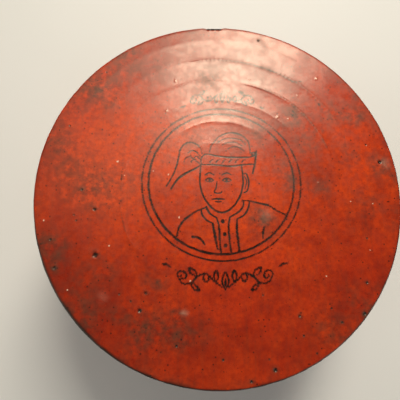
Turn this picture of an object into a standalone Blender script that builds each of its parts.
"""Round lacquered bobbin box: a deep lid over a drum, a lift-out tray and seven wound bobbins.

Blender 4.5, in metres, +Z up. The origin is on the ground, under the centre of the box.
Every hoop, wall and disc is a separate wound or coiled bamboo piece, turned about the box's axis.
The bobbins' length sets the drum's height, and the drum sets the lid's.
"""

import math

import bmesh
import bpy

MM = 0.001

# Lid
LID_RADIUS = 85.0 * MM
LID_WALL = 2.4 * MM
LID_TOP_THICKNESS = 3.2 * MM
LID_TOP_CROWN = 1.6 * MM
LID_TOP_EDGE_ROUND = 0.8 * MM
LID_CORNER_HOOP_WIDTH = 3.0 * MM
LID_CORNER_HOOP_HEIGHT = 5.5 * MM
LID_BAND_HEIGHT = 8.0 * MM

# Drum
DRUM_WALL = 2.4 * MM
DRUM_BASE_THICKNESS = 3.0 * MM
FOOT_RECESS = 4.7 * MM
FOOT_LEDGE_HEIGHT = 14.0 * MM
BASE_HOOP_WIDTH = 6.0 * MM
RIM_HOOP_WIDTH = 2.0 * MM
RIM_HOOP_HEIGHT = 8.0 * MM
BAND_STANDS_OUT = 1.8 * MM

# Tray
TRAY_DEPTH = 18.0 * MM
TRAY_WALL = 2.0 * MM
TRAY_FLOOR_THICKNESS = 2.4 * MM
TRAY_FLANGE_THICKNESS = 2.5 * MM
TRAY_FLANGE_SETBACK = 0.7 * MM

# Bobbins
BOBBINS_IN_RING = 6
QUILL_LENGTH = 70.0 * MM
QUILL_RADIUS = 4.2 * MM
QUILL_BORE_RADIUS = 2.4 * MM
YARN_RADIUS = 14.0 * MM
YARN_SHOULDER = 10.0 * MM
YARN_NECK_RADIUS = 6.0 * MM
BARE_QUILL_END = 9.0 * MM

# Clearances
SLIDE_GAP = 0.9 * MM
TRAY_GAP = 0.9 * MM
BOBBIN_HEADROOM = 3.7 * MM
TRAY_HEADROOM = 1.7 * MM
SEAM = 0.3 * MM
CHAMFER = 0.5 * MM

HOOP_FACETS = 64
QUILL_FACETS = 16
YARN_FACETS = 24
CROWN_RINGS = 5
SHARP_ANGLE = math.radians(35)

# Heights above the ground, from the floor up
DRUM_FLOOR = FOOT_RECESS + DRUM_BASE_THICKNESS
QUILL_BOTTOM = DRUM_FLOOR + SEAM
TRAY_BOTTOM = QUILL_BOTTOM + QUILL_LENGTH + BOBBIN_HEADROOM
DRUM_TOP = TRAY_BOTTOM + TRAY_DEPTH
FLANGE_BOTTOM = DRUM_TOP + SEAM
TRAY_TOP = FLANGE_BOTTOM + TRAY_FLANGE_THICKNESS
CORNER_HOOP_BOTTOM = TRAY_TOP + TRAY_HEADROOM
LID_WALL_TOP = CORNER_HOOP_BOTTOM + LID_CORNER_HOOP_HEIGHT
LID_WALL_BOTTOM = FOOT_LEDGE_HEIGHT + SEAM
LID_TOP_BOTTOM = LID_WALL_TOP + SEAM
LID_TOP_EDGE = LID_TOP_BOTTOM + LID_TOP_THICKNESS

# Radii, from the lid inwards
BAND_RADIUS = LID_RADIUS + BAND_STANDS_OUT
LID_INSIDE = LID_RADIUS - LID_WALL
DRUM_RADIUS = LID_INSIDE - SLIDE_GAP
DRUM_INSIDE = DRUM_RADIUS - DRUM_WALL
LINING_RADIUS = DRUM_INSIDE - SEAM
RIM_HOOP_INSIDE = LINING_RADIUS - RIM_HOOP_WIDTH
TRAY_RADIUS = RIM_HOOP_INSIDE - TRAY_GAP
TRAY_INSIDE = TRAY_RADIUS - TRAY_WALL
FLANGE_RADIUS = DRUM_RADIUS - TRAY_FLANGE_SETBACK

# The gap from the middle bobbin to the ring equals the gap from the ring to the drum's wall
BOBBIN_RING_RADIUS = (DRUM_INSIDE + YARN_RADIUS) / 2

# Linear colour, roughness
FINISHES = {
    "red_lacquer": ((0.46, 0.055, 0.018), 0.32),
    "black_lacquer": ((0.018, 0.012, 0.010), 0.30),
    "bamboo": ((0.52, 0.35, 0.15), 0.55),
    "indigo_cotton": ((0.025, 0.055, 0.16), 0.90),
    "madder_cotton": ((0.33, 0.045, 0.03), 0.90),
    "undyed_cotton": ((0.66, 0.58, 0.44), 0.90),
}
YARN_ORDER = (
    "undyed_cotton",
    "indigo_cotton",
    "madder_cotton",
    "undyed_cotton",
    "indigo_cotton",
    "madder_cotton",
    "undyed_cotton",
)


def finish(name):
    """The Principled material of one finish, made once and shared."""
    if name in bpy.data.materials:
        return bpy.data.materials[name]
    colour, roughness = FINISHES[name]
    material = bpy.data.materials.new(name)
    material.use_nodes = True
    shader = material.node_tree.nodes["Principled BSDF"]
    shader.inputs["Base Color"].default_value = (*colour, 1.0)
    shader.inputs["Roughness"].default_value = roughness
    shader.inputs["Metallic"].default_value = 0.0
    return material


def body_axis(name, x=0.0, y=0.0):
    """An empty on the ground, on the vertical axis along which one body slides."""
    axis = bpy.data.objects.new(name, None)
    axis.location = (x, y, 0.0)
    bpy.context.scene.collection.objects.link(axis)
    return axis


def turned(name, outline, finish_name, axis, facets=HOOP_FACETS):
    """A solid turned about its body's axis from (radius, height) points.

    An outline that starts and ends on the axis is a disc, and any other one is a closed ring.
    """
    shape = bmesh.new()
    points = [shape.verts.new((radius, 0.0, height)) for radius, height in outline]
    is_disc = outline[0][0] == 0.0 and outline[-1][0] == 0.0
    first = 1 if is_disc else 0
    lines = [shape.edges.new((points[i - 1], points[i])) for i in range(first, len(points))]
    bmesh.ops.spin(
        shape,
        geom=points + lines,
        cent=(0.0, 0.0, 0.0),
        axis=(0.0, 0.0, 1.0),
        angle=math.tau,
        steps=facets,
        use_merge=True,
    )
    bmesh.ops.remove_doubles(shape, verts=shape.verts, dist=1e-7)
    bmesh.ops.recalc_face_normals(shape, faces=shape.faces)
    mesh = bpy.data.meshes.new(name)
    shape.to_mesh(mesh)
    shape.free()
    mesh.shade_smooth()
    mesh.set_sharp_from_angle(angle=SHARP_ANGLE)
    mesh.materials.append(finish(finish_name))
    piece = bpy.data.objects.new(name, mesh)
    piece.parent = axis
    bpy.context.scene.collection.objects.link(piece)
    return piece


def ring(inside, outside, bottom, top, eased=()):
    """A ring's outline, whose corners named in eased are chamfered: such as "outer top"."""
    corners = {
        "inner bottom": (inside, bottom, 1, 1),
        "outer bottom": (outside, bottom, -1, 1),
        "outer top": (outside, top, -1, -1),
        "inner top": (inside, top, 1, -1),
    }
    outline = []
    for corner, (radius, height, inward, upward) in corners.items():
        if corner not in eased:
            outline.append((radius, height))
            continue
        along_wall = (radius, height + upward * CHAMFER)
        along_end = (radius + inward * CHAMFER, height)
        wall_first = corner in ("inner bottom", "outer top")
        outline += [along_wall, along_end] if wall_first else [along_end, along_wall]
    return outline


def lid_pieces(axis):
    """The coiled top disc, the wound wall, and the hoops that hold the wall's two edges."""
    arc_steps = 3
    edge_arc = [
        (
            LID_RADIUS - LID_TOP_EDGE_ROUND * (1 - math.cos(math.pi / 2 * step / arc_steps)),
            LID_TOP_EDGE - LID_TOP_EDGE_ROUND * (1 - math.sin(math.pi / 2 * step / arc_steps)),
        )
        for step in range(arc_steps + 1)
    ]
    flat_radius = LID_RADIUS - LID_TOP_EDGE_ROUND
    crown = [
        (flat_radius * share, LID_TOP_EDGE + LID_TOP_CROWN * (1 - share**2))
        for share in (1 - step / CROWN_RINGS for step in range(1, CROWN_RINGS + 1))
    ]
    underside = [(0.0, LID_TOP_BOTTOM), (LID_RADIUS, LID_TOP_BOTTOM)]
    turned("lid_top_disc", underside + edge_arc + crown, "red_lacquer", axis)
    turned(
        "lid_wall",
        ring(LID_INSIDE, LID_RADIUS, LID_WALL_BOTTOM, LID_WALL_TOP, ("inner bottom",)),
        "red_lacquer",
        axis,
    )
    hoop_radius = LID_INSIDE - SEAM
    turned(
        "lid_corner_hoop",
        ring(
            hoop_radius - LID_CORNER_HOOP_WIDTH,
            hoop_radius,
            CORNER_HOOP_BOTTOM,
            LID_WALL_TOP,
            ("inner bottom",),
        ),
        "black_lacquer",
        axis,
    )
    turned(
        "lid_band",
        ring(
            LID_RADIUS + SEAM,
            BAND_RADIUS,
            LID_WALL_BOTTOM,
            LID_WALL_BOTTOM + LID_BAND_HEIGHT,
            ("outer bottom", "outer top"),
        ),
        "black_lacquer",
        axis,
    )


def drum_pieces(axis):
    """The wound wall, the coiled base, and the hoops at the foot and the rim."""
    turned(
        "drum_wall",
        ring(DRUM_INSIDE, DRUM_RADIUS, 0.0, DRUM_TOP, ("outer top",)),
        "black_lacquer",
        axis,
    )
    turned(
        "drum_base_disc",
        [(0.0, FOOT_RECESS), (LINING_RADIUS, FOOT_RECESS), (LINING_RADIUS, DRUM_FLOOR), (0.0, DRUM_FLOOR)],
        "black_lacquer",
        axis,
    )
    turned(
        "drum_base_hoop",
        ring(LINING_RADIUS - BASE_HOOP_WIDTH, LINING_RADIUS, 0.0, FOOT_RECESS - SEAM, ("inner bottom",)),
        "black_lacquer",
        axis,
    )
    turned(
        "drum_rim_hoop",
        ring(
            RIM_HOOP_INSIDE,
            LINING_RADIUS,
            DRUM_TOP - RIM_HOOP_HEIGHT,
            DRUM_TOP,
            ("inner top", "inner bottom"),
        ),
        "red_lacquer",
        axis,
    )
    turned(
        "foot_band",
        ring(DRUM_RADIUS + SEAM, BAND_RADIUS, 0.0, FOOT_LEDGE_HEIGHT, ("outer bottom", "outer top")),
        "black_lacquer",
        axis,
    )


def tray_pieces(axis):
    """The tray's wall and floor, and the flange by which it hangs on the drum's rim."""
    turned(
        "tray_wall",
        ring(TRAY_INSIDE, TRAY_RADIUS, TRAY_BOTTOM, TRAY_TOP, ("inner top",)),
        "red_lacquer",
        axis,
    )
    floor_radius = TRAY_INSIDE - SEAM
    floor_top = TRAY_BOTTOM + TRAY_FLOOR_THICKNESS
    turned(
        "tray_floor_disc",
        [(0.0, TRAY_BOTTOM), (floor_radius, TRAY_BOTTOM), (floor_radius, floor_top), (0.0, floor_top)],
        "red_lacquer",
        axis,
    )
    turned(
        "tray_flange",
        ring(TRAY_RADIUS + SEAM, FLANGE_RADIUS, FLANGE_BOTTOM, TRAY_TOP, ("outer top", "outer bottom")),
        "black_lacquer",
        axis,
    )


def bobbin_pieces(number, axis, yarn_finish):
    """One bobbin: a bamboo quill and the barrel of yarn wound on it."""
    quill_top = QUILL_BOTTOM + QUILL_LENGTH
    turned(
        f"quill_{number}",
        ring(QUILL_BORE_RADIUS, QUILL_RADIUS, QUILL_BOTTOM, quill_top, ("outer bottom", "outer top")),
        "bamboo",
        axis,
        QUILL_FACETS,
    )
    yarn_bottom = QUILL_BOTTOM + BARE_QUILL_END
    yarn_top = quill_top - BARE_QUILL_END
    core = QUILL_RADIUS + SEAM
    shoulder = [
        (YARN_NECK_RADIUS, 0.0),
        ((YARN_NECK_RADIUS + 2 * YARN_RADIUS) / 3, YARN_SHOULDER / 2),
        (YARN_RADIUS, YARN_SHOULDER),
    ]
    rising = [(radius, yarn_bottom + height) for radius, height in shoulder]
    closing = [(radius, yarn_top - height) for radius, height in reversed(shoulder)]
    turned(
        f"yarn_{number}",
        [(core, yarn_bottom), *rising, *closing, (core, yarn_top)],
        yarn_finish,
        axis,
        YARN_FACETS,
    )


def bobbin_places():
    """The bobbins' axes: one in the middle and a ring around it."""
    places = [(0.0, 0.0)]
    for step in range(BOBBINS_IN_RING):
        turn = math.tau * step / BOBBINS_IN_RING
        places.append((BOBBIN_RING_RADIUS * math.cos(turn), BOBBIN_RING_RADIUS * math.sin(turn)))
    return places


def main():
    for leftover in list(bpy.data.objects):
        bpy.data.objects.remove(leftover)
    drum_pieces(body_axis("drum_axis"))
    tray_pieces(body_axis("tray_axis"))
    lid_pieces(body_axis("lid_axis"))
    for number, (x, y) in enumerate(bobbin_places(), start=1):
        yarn_finish = YARN_ORDER[(number - 1) % len(YARN_ORDER)]
        bobbin_pieces(number, body_axis(f"bobbin_{number}_axis", x, y), yarn_finish)


main()
